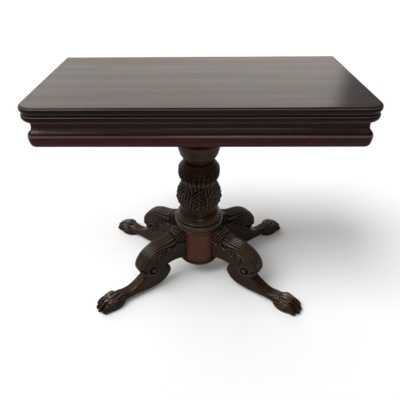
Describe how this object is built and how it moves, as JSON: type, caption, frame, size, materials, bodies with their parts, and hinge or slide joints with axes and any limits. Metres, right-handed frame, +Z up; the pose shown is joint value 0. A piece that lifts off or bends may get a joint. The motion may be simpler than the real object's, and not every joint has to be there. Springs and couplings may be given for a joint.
{
  "type": "card table",
  "caption": "Fold-over card table with a swivel top, hinged leaves, an ogee frame with a card well, and a carved turned pedestal on scroll-kneed legs with paw feet.",
  "frame": {"origin": "on the floor under the middle of the table", "axes": "+Z up, +X to the right along the long side, +Y to the hinged back edge; the moulded front faces -Y"},
  "size_m": [0.914, 0.5322, 0.764],
  "materials": {
    "polished_top": "high polish, horizontal mahogany grain",
    "dark_mahogany": "polished, dark",
    "turned_mahogany": "polished, dark, grain along the axis",
    "carved_mahogany": "waxed carving, darker in the hollows",
    "red_mahogany": "satin, red-brown",
    "pine": "planed, aged, unpolished",
    "brass": "aged",
    "iron": "blackened",
    "steel": "dull"
  },
  "bodies": {
    "base": {"front_rail": "dark_mahogany", "left_rail": "dark_mahogany", "right_rail": "dark_mahogany", "left_corner_block": "dark_mahogany", "right_corner_block": "dark_mahogany", "back_rail": "dark_mahogany", "glue_blocks": "pine", "well_cleats": "pine", "well_floor_left": "pine", "well_floor_right": "pine", "column_bearer": "pine", "pivot_rail": "pine", "hub_drum": "pine", "column_cap": "turned_mahogany", "column_abacus": "turned_mahogany", "column_tenon": "turned_mahogany", "neck_ring": "turned_mahogany", "column_base": "turned_mahogany", "hub_disc": "turned_mahogany", "carved_column": "carved_mahogany", "front_left_leg": "carved_mahogany", "front_right_leg": "carved_mahogany", "back_left_leg": "carved_mahogany", "back_right_leg": "carved_mahogany", "drum_panels": "red_mahogany", "bearer_screws": "steel", "disc_screws": "steel"},
    "swivel_top": {"lower_leaf": "polished_top", "lower_hinge_plates": "brass", "lower_hinge_pins": "steel", "lower_hinge_screws": "steel", "pivot_plate": "iron", "pivot_plate_screws": "steel", "pivot_washer": "iron", "pivot_nut": "iron", "stop_peg": "dark_mahogany"},
    "hinge_links": {"hinge_links": "brass"},
    "upper_leaf": {"upper_leaf": "polished_top", "upper_hinge_plates": "brass", "upper_hinge_pins": "steel", "upper_hinge_screws": "steel"}
  },
  "joints": [
    {"name": "top_swivel", "type": "hinge", "parent": "base", "child": "swivel_top", "pos_m": [0.1145, 0.1145, 0.723], "axis": [0, 0, 1], "range_deg": [0, 90]},
    {"name": "link_fold", "type": "hinge", "parent": "swivel_top", "child": "hinge_links", "pos_m": [0, 0.2251, 0.7395], "axis": [-1, 0, 0], "range_deg": [0, 90]},
    {"name": "leaf_fold", "type": "hinge", "parent": "hinge_links", "child": "upper_leaf", "pos_m": [0, 0.2251, 0.7475], "axis": [-1, 0, 0], "range_deg": [0, 90]}
  ]
}
